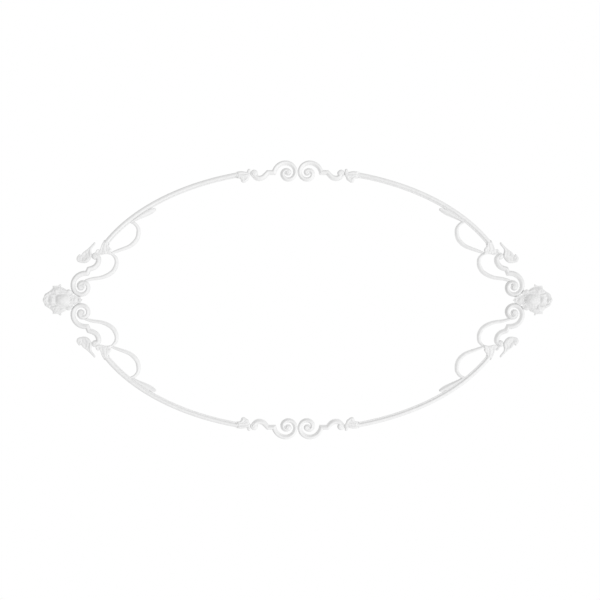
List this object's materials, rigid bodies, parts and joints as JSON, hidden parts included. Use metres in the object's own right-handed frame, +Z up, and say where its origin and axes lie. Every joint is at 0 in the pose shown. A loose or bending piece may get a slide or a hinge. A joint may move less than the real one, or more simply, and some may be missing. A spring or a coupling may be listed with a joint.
{
  "type": "ceiling medallion",
  "caption": "Open oval ceiling medallion of curved bars, scrolls, leafy husks and looping vines, with a shield-shaped cartouche at each end.",
  "frame": {"origin": "centre of the oval, in the plane of the flat backs", "axes": "+X along the oval, +Y across it, +Z up into the ceiling; the carved faces look down"},
  "size_m": [2.2002, 1.205, 0.032],
  "materials": {
    "scroll_white": "matte white primed moulding",
    "bar_white": "matte white primed moulding",
    "leaf_white": "matte white primed moulding",
    "vine_white": "matte white primed moulding",
    "cartouche_white": "matte white primed moulding"
  },
  "bodies": {
    "root": {"top_scroll_upper_left": "scroll_white", "top_scroll_upper_right": "scroll_white", "top_scroll_lower_left": "scroll_white", "top_scroll_lower_right": "scroll_white", "end_scroll_upper_left": "scroll_white", "end_scroll_upper_right": "scroll_white", "end_scroll_lower_left": "scroll_white", "end_scroll_lower_right": "scroll_white", "arc_upper_left": "bar_white", "arc_upper_right": "bar_white", "arc_lower_left": "bar_white", "arc_lower_right": "bar_white", "wing_leaf_upper_left": "leaf_white", "wing_leaf_upper_right": "leaf_white", "wing_leaf_lower_left": "leaf_white", "wing_leaf_lower_right": "leaf_white", "vine_upper_left": "vine_white", "vine_upper_right": "vine_white", "vine_lower_left": "vine_white", "vine_lower_right": "vine_white", "cartouche_left": "cartouche_white", "cartouche_right": "cartouche_white"}
  },
  "joints": []
}
